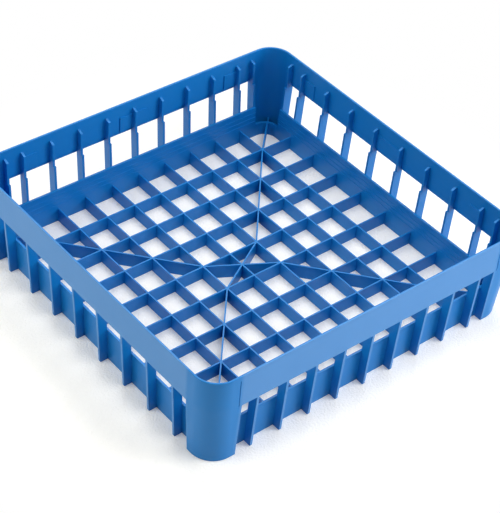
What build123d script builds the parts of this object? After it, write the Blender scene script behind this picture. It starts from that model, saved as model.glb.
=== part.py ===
"""Glass rack for a glass washer: one injection moulding in polypropylene, open at the top.

Millimetres, +Z up, the origin on the table under the middle of the rack.
"""
import os
from math import atan, degrees

from build123d import *

os.makedirs("parts", exist_ok=True)

# Overall size
rack_side = 400.0          # width and depth across the rim
rack_height = 109.0        # table to rim
corner_radius = 26.0       # outside corners at the rim and at the table, seen from above
band_draft = 0.4           # how far the band leans in between the rim and its lower edge
base_draft = 4.8           # how far the posts and fins have leaned in at the table
rim_round = 0.9            # rounding of the rim's two edges
foot_round = 1.0           # rounding under the corner posts

# Heights
grid_height = 16.4         # floor grid, from the table to the top of its ribs
sill_height = 40.4         # top of the lower wall, under the windows
band_bottom = 70.0         # lower edge of the band, over the windows
lip_height = 4.2           # thin lip along the band's lower edge
nib_top = 99.3             # where the pointed ribs run out on the inside of the band
nib_drop = 2.3             # fall of their sloped tops
nib_foot = 69.6            # where the ribs step out into the window posts

# Wall sections
skin_wall = 2.4            # band and corner posts
post_foot_wall = 2.8       # corner posts at the table, below the floor grid's top
lip_wall = 1.3
lower_wall = 2.3           # lower wall at the table
lower_draft = 1.6          # lean of the lower wall's outer face
foot_inset = 16.6          # inner face of the lower wall at the table, from the outside of the rim
step_depth = 0.5           # each ledge on the inside of the lower wall
step_count = 3
step_pitch = 5.6           # from ledge to ledge
step_first = 7.0           # from the sill to the first ledge
pocket_radius = 15.3       # inside corners of the floor

# Fins
fin_wall = 2.6
fin_setback = 0.15         # outer edge of a fin behind the face of the band
fin_inset_top = 11.3       # inner edge of a window post under the band, from the outside of the rim
fin_inset_foot = 15.1      # the same edge at the table, inside the lower wall
nib_inset_foot = 9.0       # inner edge of a rib on the band
nib_inset_top = 8.8
nib_round = 1.2            # rounding of a rib's nose
fin_toe = 1.6              # rounding of a fin's outer toe
post_flat_front = 10.6     # straight part of a corner post beside its curve, front and back
post_flat_side = 9.0       # the same on the two sides

# Floor grid
cell_count_x = 10
cell_count_y = 9
rib_wall = 1.6

# Small marks on the band
pad_width = 18.0           # raised pads on the inside
pad_height = 18.0
pad_depth = 1.0
seam_width = 0.8           # upright seams on the front and back, where the band meets a post
seam_depth = 0.5
seam_offset = 2.4          # from the middle of the post's end flange toward the corner
seam_end = 6.0             # from the rim

# Derived sizes
half = rack_side / 2
band_half = half - band_draft
band_height = rack_height - band_bottom
band_radius = corner_radius - band_draft
band_taper = degrees(atan(band_draft / band_height))
band_inner = band_half - skin_wall
base_half = half - base_draft
foot_inner = base_half - post_foot_wall
grid_share = grid_height / band_bottom
grid_inner = base_half + grid_share * (band_half - base_half) - skin_wall
grid_radius = corner_radius + grid_share * (band_radius - corner_radius) - skin_wall
floor_half = half - foot_inset
pitch_y = 2 * floor_half / cell_count_y
pitch_x = (2 * floor_half - 2 * pitch_y) / (cell_count_x - 2)
stations_x = [pitch_x * (i - (cell_count_x - 2) / 2) for i in range(cell_count_x - 1)]
stations_y = [pitch_y * (j - (cell_count_y - 2) / 2) for j in range(cell_count_y - 1)]
node_x = stations_x[cell_count_x // 2]
node_y = stations_y[cell_count_y // 2]
flange_x = half - corner_radius - post_flat_front
flange_y = half - corner_radius - post_flat_side
post_end_x = flange_x - fin_wall / 2
post_end_y = flange_y - fin_wall / 2
wall_end_x = flange_x + fin_wall / 2
wall_end_y = flange_y + fin_wall / 2
sill_half = floor_half + lower_wall + lower_draft
sill_radius = pocket_radius + lower_wall + lower_draft
lower_taper = degrees(atan(lower_draft / sill_height))
pad_x = stations_x[-1] - pad_width / 2
pad_y = stations_y[-1] - pad_width / 2
pad_run = skin_wall / 2 + pad_depth
pad_at = band_half - skin_wall / 2 - pad_run / 2
reach = rack_side + corner_radius


def inset_to(distance):
    """Position across the front wall for a distance in from the outside of the rim."""
    return distance - half


nib_nose = (inset_to(nib_inset_top), nib_top - nib_drop)

# A window fin: outer blade, window post and the pointed rib on the band in one outline
with BuildPart() as wall_fin:
    with BuildSketch(Plane.YZ):
        with BuildLine():
            Polyline(
                (inset_to(base_draft), 0),
                (inset_to(band_draft + fin_setback), band_bottom),
                (inset_to(band_draft + lip_wall / 2), band_bottom + lip_wall / 2),
                (inset_to(band_draft + lip_wall / 2), nib_top),
                (inset_to(band_draft + skin_wall), nib_top),
                nib_nose,
                (inset_to(nib_inset_foot), nib_foot),
                (inset_to(fin_inset_top), nib_foot),
                (inset_to(fin_inset_foot), 0),
                close=True,
            )
        make_face()
        fillet(vertices().sort_by_distance((inset_to(base_draft), 0))[0], radius=fin_toe)
        fillet(vertices().sort_by_distance(nib_nose)[0], radius=nib_round)
    extrude(amount=fin_wall / 2, both=True)

# The flange that ends a corner post: the same inner outline, rooted inside the post's wall
with BuildPart() as post_flange:
    with BuildSketch(Plane.YZ):
        with BuildLine():
            Polyline(
                (inset_to(base_draft + skin_wall / 2), 0),
                (inset_to(band_draft + skin_wall / 2), band_bottom),
                (inset_to(band_draft + skin_wall / 2), nib_top),
                (inset_to(band_draft + skin_wall), nib_top),
                nib_nose,
                (inset_to(nib_inset_foot), nib_foot),
                (inset_to(fin_inset_top), nib_foot),
                (inset_to(fin_inset_foot), 0),
                close=True,
            )
        make_face()
        fillet(vertices().sort_by_distance(nib_nose)[0], radius=nib_round)
    extrude(amount=fin_wall / 2, both=True)

# The band, rim down: drafted outside and inside, with its lip, seams and pads
with BuildPart() as band:
    with BuildSketch():
        RectangleRounded(rack_side, rack_side, corner_radius)
    extrude(amount=band_height, taper=band_taper)
    with BuildSketch():
        RectangleRounded(2 * (half - skin_wall), 2 * (half - skin_wall), corner_radius - skin_wall)
    extrude(amount=band_height, taper=band_taper, mode=Mode.SUBTRACT)
    fillet(faces().sort_by(Axis.Z)[0].edges(), radius=rim_round)
    with BuildSketch(Plane.XY.offset(band_height - lip_height)):
        Rectangle(2 * post_end_x, 2 * (band_half - lip_wall))
        Rectangle(2 * (band_half - lip_wall), 2 * post_end_y)
    extrude(amount=lip_height, mode=Mode.SUBTRACT)
    with BuildSketch(Plane.XY.offset(seam_end)):
        with GridLocations(2 * (flange_x + seam_offset), rack_side, 2, 2):
            Rectangle(seam_width, 2 * (band_draft + seam_depth))
    extrude(amount=band_height - seam_end, mode=Mode.SUBTRACT)
    with BuildSketch(Plane.XY.offset(band_height - lip_height - pad_height)):
        with GridLocations(2 * pad_x, 2 * pad_at, 2, 2):
            Rectangle(pad_width, pad_run)
        with GridLocations(2 * pad_at, 2 * pad_y, 2, 2):
            Rectangle(pad_run, pad_width)
        with GridLocations(0, 2 * pad_at, 1, 2):
            Rectangle(2 * pad_width, pad_run)
        with GridLocations(2 * pad_at, 0, 2, 1):
            Rectangle(pad_run, pitch_y)
    extrude(amount=pad_height)

# The four corner posts, which lean in toward the table
with BuildPart() as corner_posts:
    with BuildSketch():
        RectangleRounded(2 * base_half, 2 * base_half, corner_radius)
    with BuildSketch(Plane.XY.offset(band_bottom)):
        RectangleRounded(2 * band_half, 2 * band_half, band_radius)
    loft(ruled=True)
    fillet(faces().sort_by(Axis.Z)[0].edges(), radius=foot_round)
    with BuildSketch():
        RectangleRounded(2 * foot_inner, 2 * foot_inner, corner_radius - post_foot_wall)
    with BuildSketch(Plane.XY.offset(grid_height)):
        RectangleRounded(2 * grid_inner, 2 * grid_inner, grid_radius)
    loft(ruled=True, mode=Mode.SUBTRACT)
    with BuildSketch(Plane.XY.offset(grid_height)):
        RectangleRounded(2 * grid_inner, 2 * grid_inner, grid_radius)
    with BuildSketch(Plane.XY.offset(band_bottom)):
        RectangleRounded(2 * band_inner, 2 * band_inner, band_radius - skin_wall)
    loft(ruled=True, mode=Mode.SUBTRACT)
    with BuildSketch():
        Rectangle(2 * post_end_x, reach)
        Rectangle(reach, 2 * post_end_y)
    extrude(amount=band_bottom, mode=Mode.SUBTRACT)

# The lower wall, sill down: ledges inside, and cut down to the grid's height in the corners
with BuildPart() as low_wall:
    with BuildSketch():
        RectangleRounded(2 * sill_half, 2 * sill_half, sill_radius)
    extrude(amount=sill_height, taper=lower_taper)
    with BuildSketch():
        RectangleRounded(2 * floor_half, 2 * floor_half, pocket_radius)
    extrude(amount=sill_height, mode=Mode.SUBTRACT)
    for ledge in range(step_count):
        ledge_half = floor_half + (step_count - ledge) * step_depth
        with BuildSketch():
            RectangleRounded(2 * ledge_half, 2 * ledge_half, pocket_radius)
        extrude(amount=step_first + ledge * step_pitch, mode=Mode.SUBTRACT)
    with BuildSketch():
        Rectangle(reach, reach)
        Rectangle(2 * wall_end_x, reach, mode=Mode.SUBTRACT)
        Rectangle(reach, 2 * wall_end_y, mode=Mode.SUBTRACT)
    extrude(amount=sill_height - grid_height, mode=Mode.SUBTRACT)

# The floor grid, with diagonal ribs that run from the middle into the corner posts
with BuildPart() as floor_grid:
    with BuildSketch():
        with Locations(*[(x, 0) for x in stations_x]):
            Rectangle(rib_wall, 2 * floor_half + lower_wall)
        with Locations(*[(0, y) for y in stations_y]):
            Rectangle(2 * floor_half + lower_wall, rib_wall)
        with BuildLine():
            for sx in (-1, 1):
                for sy in (-1, 1):
                    Polyline(
                        (0, 0),
                        (sx * node_x, sy * node_y),
                        (sx * stations_x[-1], sy * stations_y[-1]),
                        (sx * base_half, sy * base_half),
                    )
        trace(line_width=rib_wall)
    extrude(amount=grid_height)
    # ends inside the post's wall
    with BuildSketch():
        RectangleRounded(2 * base_half - skin_wall, 2 * base_half - skin_wall, corner_radius - skin_wall / 2)
    with BuildSketch(Plane.XY.offset(band_bottom)):
        RectangleRounded(2 * band_half - skin_wall, 2 * band_half - skin_wall, band_radius - skin_wall / 2)
    loft(ruled=True, mode=Mode.INTERSECT)

# The whole moulding
with BuildPart() as glass_rack:
    with Locations(Location((0, 0, rack_height), (180, 0, 0))):
        add(band.part)
    add(corner_posts.part)
    with Locations(Location((0, 0, sill_height), (180, 0, 0))):
        add(low_wall.part)
    add(floor_grid.part)
    with Locations(*[Location((x, 0, 0), (0, 0, turn)) for x in stations_x for turn in (0, 180)]):
        add(wall_fin.part)
    with Locations(*[Location((0, y, 0), (0, 0, turn)) for y in stations_y for turn in (90, -90)]):
        add(wall_fin.part)
    with Locations(*[Location((x, 0, 0), (0, 0, turn)) for x in (-flange_x, flange_x) for turn in (0, 180)]):
        add(post_flange.part)
    with Locations(*[Location((0, y, 0), (0, 0, turn)) for y in (-flange_y, flange_y) for turn in (90, -90)]):
        add(post_flange.part)

glass_rack.part.label = "glass_rack"
export_step(glass_rack.part, "parts/glass_rack.step")
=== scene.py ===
"""Looks of the glass rack: a moulded blue polypropylene finish on a pale studio stage."""

import math

import bmesh
import bpy
import numpy as np
from mathutils import Matrix, Vector


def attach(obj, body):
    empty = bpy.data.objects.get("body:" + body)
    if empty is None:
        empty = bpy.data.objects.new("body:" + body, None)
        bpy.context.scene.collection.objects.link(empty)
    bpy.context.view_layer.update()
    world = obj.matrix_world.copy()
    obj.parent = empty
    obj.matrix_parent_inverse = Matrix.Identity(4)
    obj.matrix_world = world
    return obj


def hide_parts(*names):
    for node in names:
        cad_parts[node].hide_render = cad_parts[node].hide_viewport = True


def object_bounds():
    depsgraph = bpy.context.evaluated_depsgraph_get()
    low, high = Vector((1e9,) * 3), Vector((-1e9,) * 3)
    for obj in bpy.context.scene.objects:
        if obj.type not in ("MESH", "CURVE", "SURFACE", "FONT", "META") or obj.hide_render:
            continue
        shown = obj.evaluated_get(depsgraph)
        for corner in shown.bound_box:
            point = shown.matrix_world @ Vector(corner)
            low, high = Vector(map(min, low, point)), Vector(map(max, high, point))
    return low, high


bl_info = {
    "name": "Glass rack looks",
    "version": (1, 0, 0),
    "blender": (4, 5, 0),
    "location": "View3D > Sidebar > Glass rack",
    "description": "Finishes the moulded glass rack and sets it on a pale studio stage",
    "category": "Object",
}

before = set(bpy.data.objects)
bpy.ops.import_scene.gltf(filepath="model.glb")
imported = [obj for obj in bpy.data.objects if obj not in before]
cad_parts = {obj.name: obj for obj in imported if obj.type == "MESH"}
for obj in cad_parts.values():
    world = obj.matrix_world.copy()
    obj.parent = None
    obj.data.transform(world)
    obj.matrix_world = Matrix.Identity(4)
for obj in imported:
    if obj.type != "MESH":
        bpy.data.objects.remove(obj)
CAD_LOW, CAD_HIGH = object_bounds()

MM = 0.001
RACK_NODE = "glass_rack"

# Outsides of the solid: one height above the table, then insets from the outside of the rim
BAND_BOTTOM = 70 * MM      # lower edge of the band
FIN_SETBACK = 0.55 * MM    # outer edge of a fin, under the band
FIN_LEAN = 4.8 * MM        # the same edge at the table
POST_WIDTH = 34.2 * MM     # corner post, up to the seam in the band

# Where the painted sheen, a pale tone that stands in for the gloss on the outer faces, runs out
SHEEN_FULL = 0.1 * MM        # it is full down to this depth behind the outer faces
SHEEN_NONE = 1.0 * MM        # and gone at this one
POST_FADE = 4 * MM         # it fades over this length before a post

# Mesh of the moulding
MERGE_DISTANCE = 0.001 * MM
FLAT_ANGLE = math.radians(0.2)     # faces that turn less are one face
SHARP_ANGLE = math.radians(28)     # edges that turn more are rounded

# Surface of the moulding
POLYPROPYLENE_IOR = 1.49
SATIN_ROUGHNESS = 0.34
DULL_ROUGHNESS = 0.42
MOULD_GRAIN_STRENGTH = 0.06
MOULD_GRAIN_DEPTH = 0.1 * MM

# Stage
WHITE = (1.0, 1.0, 1.0)
TABLE_REACH = 8.0          # from the middle of the table to its sides
TABLE_GAP = 0.1 * MM       # between the table and the rack
TABLE_GRAIN_DEPTH = 1.0 * MM
LAMP_DISTANCE = 2.0        # from the middle of the rack
LAMP_SIZE = 1.2
FILM_WIDTH = 36            # millimetres


def linear(hex_colour):
    """sRGB hex to linear RGB: the low end is divided by 12.92, the rest takes the 2.4 power law."""
    srgb = np.array([int(hex_colour[i:i + 2], 16) for i in (1, 3, 5)]) / 255
    return tuple(np.where(srgb <= 0.04045, srgb / 12.92, ((srgb + 0.055) / 1.055) ** 2.4))


def opaque(colour):
    """The same colour with an alpha of 1, as a colour socket takes it."""
    return (*colour, 1.0)


def add_node(tree, kind, settings=None, inputs=None):
    """Adds one node. Each input is a constant, or the output socket that feeds it."""
    node = tree.nodes.new(kind)
    for name, value in (settings or {}).items():
        setattr(node, name, value)
    for name, value in (inputs or {}).items():
        if isinstance(value, bpy.types.NodeSocket):
            tree.links.new(value, node.inputs[name])
        else:
            node.inputs[name].default_value = value
    return node


def empty_material(name):
    """A material with no nodes, and its tree."""
    material = bpy.data.materials.new(name)
    material.use_nodes = True
    material.node_tree.nodes.clear()
    return material, material.node_tree


def seen_share(tree):
    """1 for what the camera sees, straight, in a gloss or through something, and 0 for light that falls."""
    path = add_node(tree, "ShaderNodeLightPath").outputs
    seen = path["Is Camera Ray"]
    for ray in ("Is Glossy Ray", "Is Transmission Ray"):
        seen = add_node(
            tree, "ShaderNodeMath", {"operation": "MAXIMUM"}, {0: seen, 1: path[ray]}).outputs[0]
    return seen


def direction(azimuth, elevation):
    """Unit vector toward a place: azimuth 0 is the front (-Y) and turns toward +X; elevation is up."""
    flat = math.cos(elevation)
    return Vector((math.sin(azimuth) * flat, -math.cos(azimuth) * flat, math.sin(elevation)))


class GlassRackFinish(bpy.types.PropertyGroup):
    """Colours and surface sizes of the moulding."""

    blue: bpy.props.FloatVectorProperty(
        name="Blue", description="Colour of the dyed polypropylene",
        subtype="COLOR", size=3, min=0, max=1, default=linear("#0c7ac5"))
    deep_blue: bpy.props.FloatVectorProperty(
        name="Deep blue", description="Colour where the dye has flowed together",
        subtype="COLOR", size=3, min=0, max=1, default=linear("#0a75bf"))
    # The pale tone below is painted sheen: it stands in for the gloss and highlights on the band's outside
    # and the fins' outer edges.
    sheen_colour: bpy.props.FloatVectorProperty(
        name="Rubbed", description="Pale tone of the outer faces, which rub on the machine's rails",
        subtype="COLOR", size=3, min=0, max=1, default=linear("#b9d6f5"))
    sheen_strength: bpy.props.FloatProperty(
        name="Rub", description="Share of that tone", subtype="FACTOR", default=0.125, min=0, max=1)
    gloss: bpy.props.FloatProperty(
        name="Gloss",
        description="Strength of the reflection, where 0.5 is that of the refractive index alone",
        default=0.29, min=0, max=1)
    edge_radius: bpy.props.FloatProperty(
        name="Edge radius", description="Rounding that the mould leaves on every sharp edge",
        unit="LENGTH", default=0.35 * MM, min=0)
    cloud_size: bpy.props.FloatProperty(
        name="Cloud size", description="Width of the faint clouds in the dye",
        unit="LENGTH", default=45 * MM, min=0)
    grain_size: bpy.props.FloatProperty(
        name="Grain size", description="Width of the fine texture of the mould's face",
        unit="LENGTH", default=1.2 * MM, min=0)


class GlassRackStage(bpy.types.PropertyGroup):
    """Floor, light and camera."""

    floor_colour: bpy.props.FloatVectorProperty(
        name="Floor", description="Colour of the table",
        subtype="COLOR", size=3, min=0, max=1, default=linear("#f6f4ef"))
    floor_glow: bpy.props.FloatProperty(
        name="Floor glow", description="White that is seen in the table near the rack, over its own tone",
        default=0.15, min=0)
    white_start: bpy.props.FloatProperty(
        name="White start", description="Distance from the middle where the table begins to turn plain white",
        unit="LENGTH", default=270 * MM, min=0)
    white_end: bpy.props.FloatProperty(
        name="White end", description="Distance from the middle where the table is plain white",
        unit="LENGTH", default=400 * MM, min=0)
    grain_size: bpy.props.FloatProperty(
        name="Table grain", description="Width of the grain in the table's face",
        unit="LENGTH", default=2.2 * MM, min=0)
    sky: bpy.props.FloatProperty(
        name="Sky", description="Strength of the even white light all round", default=0.04, min=0)
    right_power: bpy.props.FloatProperty(
        name="Right lamp", description="Power of the low softbox at the right",
        unit="POWER", default=29, min=0)
    left_power: bpy.props.FloatProperty(
        name="Left lamp", description="Power of the softbox at the left",
        unit="POWER", default=15.5, min=0)
    back_power: bpy.props.FloatProperty(
        name="Back lamp", description="Power of the low softbox behind, at the left",
        unit="POWER", default=11.5, min=0)
    top_power: bpy.props.FloatProperty(
        name="Top lamp", description="Power of the high softbox in front",
        unit="POWER", default=21, min=0)
    far_power: bpy.props.FloatProperty(
        name="Far lamp", description="Power of the high softbox over the far corner",
        unit="POWER", default=19, min=0)
    warm: bpy.props.FloatVectorProperty(
        name="Warm", description="Colour of the left lamp and the back lamp",
        subtype="COLOR", size=3, min=0, max=1, default=linear("#fffdf3"))
    azimuth: bpy.props.FloatProperty(
        name="Azimuth", description="Turn of the view about the rack",
        subtype="ANGLE", default=math.radians(-41.69))
    elevation: bpy.props.FloatProperty(
        name="Elevation", description="Height of the view above the horizon",
        subtype="ANGLE", default=math.radians(40.75))
    roll: bpy.props.FloatProperty(
        name="Roll", description="Turn of the camera about its own axis",
        subtype="ANGLE", default=math.radians(4.77))
    distance: bpy.props.FloatProperty(
        name="Distance", description="Camera to the point it is aimed at",
        unit="LENGTH", default=1.7895, min=0)
    aim: bpy.props.FloatVectorProperty(
        name="Aim", description="Point that the camera is aimed at",
        subtype="TRANSLATION", size=3, default=(9.5 * MM, -0.7 * MM, 23.1 * MM))
    lens: bpy.props.FloatProperty(
        name="Lens", description="Focal length in millimetres", default=120, min=1)


def painted_sheen_share(tree, place, sheen_strength):
    """Share of the painted sheen, a pale tone that stands in for the gloss and highlights: full between the
    posts, on the band's outside and the fins' outer edges.

    The fins' outer edges lean in toward the table, so the depth of a point is measured from that lean.
    """
    half = CAD_HIGH.x
    axes = add_node(tree, "ShaderNodeSeparateXYZ", inputs={"Vector": place}).outputs
    across, along = (
        add_node(tree, "ShaderNodeMath", {"operation": "ABSOLUTE"}, {0: axes[name]}).outputs[0]
        for name in "XY")
    outermost = add_node(
        tree, "ShaderNodeMath", {"operation": "MAXIMUM"}, {0: across, 1: along}).outputs[0]
    beside = add_node(
        tree, "ShaderNodeMath", {"operation": "MINIMUM"}, {0: across, 1: along}).outputs[0]
    lean = add_node(
        tree, "ShaderNodeMapRange",
        inputs={"Value": axes["Z"], "From Max": BAND_BOTTOM,
                "To Min": half - FIN_LEAN, "To Max": half - FIN_SETBACK}).outputs["Result"]
    beyond = add_node(
        tree, "ShaderNodeMath", {"operation": "SUBTRACT"}, {0: outermost, 1: lean}).outputs[0]
    outside = add_node(
        tree, "ShaderNodeMapRange",
        inputs={"Value": beyond, "From Min": -SHEEN_NONE, "From Max": -SHEEN_FULL,
                "To Max": sheen_strength}).outputs["Result"]
    between_posts = add_node(
        tree, "ShaderNodeMapRange",
        inputs={"Value": beside, "From Min": half - POST_WIDTH - POST_FADE, "From Max": half - POST_WIDTH,
                "To Min": 1.0, "To Max": 0.0}).outputs["Result"]
    return add_node(
        tree, "ShaderNodeMath", {"operation": "MULTIPLY"}, {0: outside, 1: between_posts}).outputs[0]


def polypropylene_material(finish):
    """Moulded polypropylene, dyed blue: smooth and satin, with a soft broad gloss.

    The eye sees an even colour with faint clouds where the dye flowed, a painted sheen of paler tone on the
    band's outside and the fins' outer edges that stands in for their gloss, and the texture of the mould's
    face. The real texture is finer, and is drawn coarse enough to show.
    """
    material, tree = empty_material("moulded_blue_polypropylene")
    place = add_node(tree, "ShaderNodeTexCoord").outputs["Object"]
    clouds = add_node(
        tree, "ShaderNodeTexNoise",
        inputs={"Vector": place, "Scale": 1 / finish.cloud_size, "Detail": 3.0, "Roughness": 0.5})
    dye = add_node(
        tree, "ShaderNodeMix", {"data_type": "RGBA"},
        {"Factor": clouds.outputs["Fac"], "A": opaque(finish.blue), "B": opaque(finish.deep_blue)})
    # Mixes in the painted sheen, a pale tone that stands in for the gloss on the outer faces
    colour = add_node(
        tree, "ShaderNodeMix", {"data_type": "RGBA"},
        {"Factor": painted_sheen_share(tree, place, finish.sheen_strength),
         "A": dye.outputs["Result"], "B": opaque(finish.sheen_colour)})
    grain = add_node(
        tree, "ShaderNodeTexNoise",
        inputs={"Vector": place, "Scale": 1 / finish.grain_size, "Detail": 2.0, "Roughness": 0.6})
    bump = add_node(
        tree, "ShaderNodeBump",
        inputs={"Strength": MOULD_GRAIN_STRENGTH, "Distance": MOULD_GRAIN_DEPTH,
                "Height": grain.outputs["Fac"]})
    roughness = add_node(
        tree, "ShaderNodeMapRange",
        inputs={"Value": clouds.outputs["Fac"], "From Min": 0.3, "From Max": 0.7,
                "To Min": SATIN_ROUGHNESS, "To Max": DULL_ROUGHNESS})
    plastic = add_node(
        tree, "ShaderNodeBsdfPrincipled",
        inputs={"Base Color": colour.outputs["Result"], "Roughness": roughness.outputs["Result"],
                "IOR": POLYPROPYLENE_IOR, "Specular IOR Level": finish.gloss,
                "Normal": bump.outputs["Normal"]})
    add_node(tree, "ShaderNodeOutputMaterial", inputs={"Surface": plastic.outputs["BSDF"]})
    return material


def floor_material(stage):
    """A matt white table: near the rack the eye sees its fine grain and a soft shadow, and plain white afar.

    Only what is seen turns white. The light that the table throws back on the rack is that of its own colour.
    """
    material, tree = empty_material("matt_white_table")
    place = add_node(tree, "ShaderNodeTexCoord").outputs["Object"]
    grain = add_node(
        tree, "ShaderNodeTexNoise",
        inputs={"Vector": place, "Scale": 1 / stage.grain_size, "Detail": 3.0, "Roughness": 0.6})
    bump = add_node(
        tree, "ShaderNodeBump",
        inputs={"Strength": 1.0, "Distance": TABLE_GRAIN_DEPTH, "Height": grain.outputs["Fac"]})
    matt = add_node(
        tree, "ShaderNodeBsdfDiffuse",
        inputs={"Color": opaque(stage.floor_colour), "Normal": bump.outputs["Normal"]}).outputs[0]
    glow = add_node(
        tree, "ShaderNodeEmission", inputs={"Color": opaque(WHITE), "Strength": stage.floor_glow})
    near = add_node(tree, "ShaderNodeAddShader", inputs={0: matt, 1: glow.outputs[0]})
    far = add_node(tree, "ShaderNodeEmission", inputs={"Color": opaque(WHITE), "Strength": 1.0})
    away = add_node(tree, "ShaderNodeVectorMath", {"operation": "LENGTH"}, {0: place}).outputs["Value"]
    fade = add_node(
        tree, "ShaderNodeMapRange", {"interpolation_type": "SMOOTHSTEP"},
        {"Value": away, "From Min": stage.white_start, "From Max": stage.white_end}).outputs["Result"]
    bright = add_node(
        tree, "ShaderNodeMixShader", inputs={0: fade, 1: near.outputs[0], 2: far.outputs[0]})
    table = add_node(
        tree, "ShaderNodeMixShader", inputs={0: seen_share(tree), 1: matt, 2: bright.outputs[0]})
    add_node(tree, "ShaderNodeOutputMaterial", inputs={"Surface": table.outputs[0]})
    return material


class GLASSRACK_OT_moulding(bpy.types.Operator):
    """Makes the visible moulding: the solid's faces joined, its sharp edges rounded, in blue polypropylene"""

    bl_idname = "glassrack.moulding"
    bl_label = "Moulding"

    def execute(self, context):
        finish = context.scene.glass_rack_finish
        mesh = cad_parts[RACK_NODE].data.copy()
        mesh.name = "rack_moulding"
        faces = bmesh.new()
        faces.from_mesh(mesh)
        bmesh.ops.remove_doubles(faces, verts=faces.verts, dist=MERGE_DISTANCE)
        bmesh.ops.dissolve_limit(faces, angle_limit=FLAT_ANGLE, verts=faces.verts, edges=faces.edges)
        faces.to_mesh(mesh)
        faces.free()
        mesh.materials.clear()
        mesh.materials.append(polypropylene_material(finish))
        mesh.shade_smooth()
        rack = bpy.data.objects.new("rack_moulding", mesh)
        context.scene.collection.objects.link(rack)
        rounding = rack.modifiers.new("mould_edges", "BEVEL")
        rounding.width = finish.edge_radius
        rounding.segments = 2
        rounding.limit_method = "ANGLE"
        rounding.angle_limit = SHARP_ANGLE
        rounding.use_clamp_overlap = True
        normals = rack.modifiers.new("flat_faces", "WEIGHTED_NORMAL")
        normals.weight = 100
        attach(rack, "root")
        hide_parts(RACK_NODE)
        return {"FINISHED"}


class GLASSRACK_OT_stage(bpy.types.Operator):
    """Makes the table, the sky, the lamps and the camera"""

    bl_idname = "glassrack.stage"
    bl_label = "Stage"

    def execute(self, context):
        stage = context.scene.glass_rack_stage
        context.scene.view_settings.view_transform = "Standard"
        self.floor(context, stage)
        self.sky(context, stage)
        self.lamp(context, "right_lamp", stage.right_power, WHITE, azimuth=45, elevation=16)
        self.lamp(context, "left_lamp", stage.left_power, stage.warm, azimuth=255, elevation=40)
        self.lamp(context, "back_lamp", stage.back_power, stage.warm, azimuth=222, elevation=16)
        self.lamp(context, "top_lamp", stage.top_power, WHITE, azimuth=20, elevation=65)
        self.lamp(context, "far_lamp", stage.far_power, WHITE, azimuth=138, elevation=58)
        self.camera(context, stage)
        return {"FINISHED"}

    def floor(self, context, stage):
        """A square far larger than the rack, a hair under it."""
        height = CAD_LOW.z - TABLE_GAP
        signs = ((-1, -1), (1, -1), (1, 1), (-1, 1))
        corners = [(x * TABLE_REACH, y * TABLE_REACH, height) for x, y in signs]
        mesh = bpy.data.meshes.new("table")
        mesh.from_pydata(corners, [], [(0, 1, 2, 3)])
        mesh.materials.append(floor_material(stage))
        table = bpy.data.objects.new("table", mesh)
        context.scene.collection.objects.link(table)

    def sky(self, context, stage):
        """Even white light, seen as plain white by the camera and in the gloss."""
        world = bpy.data.worlds.new("white_studio")
        world.use_nodes = True
        tree = world.node_tree
        tree.nodes.clear()
        strength = add_node(
            tree, "ShaderNodeMapRange",
            inputs={"Value": seen_share(tree), "To Min": stage.sky, "To Max": 1.0})
        light = add_node(
            tree, "ShaderNodeBackground",
            inputs={"Color": opaque(WHITE), "Strength": strength.outputs["Result"]})
        add_node(tree, "ShaderNodeOutputWorld", inputs={"Surface": light.outputs[0]})
        context.scene.world = world

    def lamp(self, context, name, power, colour, azimuth, elevation):
        """A square softbox aimed at the middle of the rack, with its place in degrees."""
        data = bpy.data.lights.new(name, "AREA")
        data.energy = power
        data.color = colour
        data.size = LAMP_SIZE
        lamp = bpy.data.objects.new(name, data)
        away = direction(math.radians(azimuth), math.radians(elevation))
        place = Matrix.Translation((CAD_LOW + CAD_HIGH) / 2 + LAMP_DISTANCE * away)
        lamp.matrix_world = place @ (-away).to_track_quat("-Z", "Y").to_matrix().to_4x4()
        context.scene.collection.objects.link(lamp)

    def camera(self, context, stage):
        """Looks at the aim point from the view's azimuth and elevation, turned by the roll."""
        data = bpy.data.cameras.new("camera")
        data.lens = stage.lens
        data.sensor_width = FILM_WIDTH
        back = direction(stage.azimuth, stage.elevation)
        place = Matrix.Translation(Vector(stage.aim) + back * stage.distance)
        upright = (-back).to_track_quat("-Z", "Y").to_matrix().to_4x4()
        camera = bpy.data.objects.new("camera", data)
        camera.matrix_world = place @ upright @ Matrix.Rotation(stage.roll, 4, "Z")
        context.scene.collection.objects.link(camera)
        context.scene.camera = camera


class GLASSRACK_PT_sidebar(bpy.types.Panel):
    """Lists the rack's finish, the stage and their operators"""

    bl_idname = "GLASSRACK_PT_sidebar"
    bl_label = "Glass rack"
    bl_space_type = "VIEW_3D"
    bl_region_type = "UI"
    bl_category = "Glass rack"

    def draw(self, context):
        for group, operator in (
            (context.scene.glass_rack_finish, GLASSRACK_OT_moulding),
            (context.scene.glass_rack_stage, GLASSRACK_OT_stage),
        ):
            box = self.layout.box()
            for name in group.bl_rna.properties.keys():
                if name not in {"rna_type", "name"}:
                    box.prop(group, name)
            box.operator(operator.bl_idname)


CLASSES = (GlassRackFinish, GlassRackStage, GLASSRACK_OT_moulding, GLASSRACK_OT_stage, GLASSRACK_PT_sidebar)


def register():
    for cls in CLASSES:
        bpy.utils.register_class(cls)
    bpy.types.Scene.glass_rack_finish = bpy.props.PointerProperty(type=GlassRackFinish)
    bpy.types.Scene.glass_rack_stage = bpy.props.PointerProperty(type=GlassRackStage)


def unregister():
    del bpy.types.Scene.glass_rack_stage
    del bpy.types.Scene.glass_rack_finish
    for cls in reversed(CLASSES):
        bpy.utils.unregister_class(cls)


def main():
    """Registers the add-on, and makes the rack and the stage."""
    register()
    bpy.ops.glassrack.moulding()
    bpy.ops.glassrack.stage()


if __name__ == "__main__":
    main()
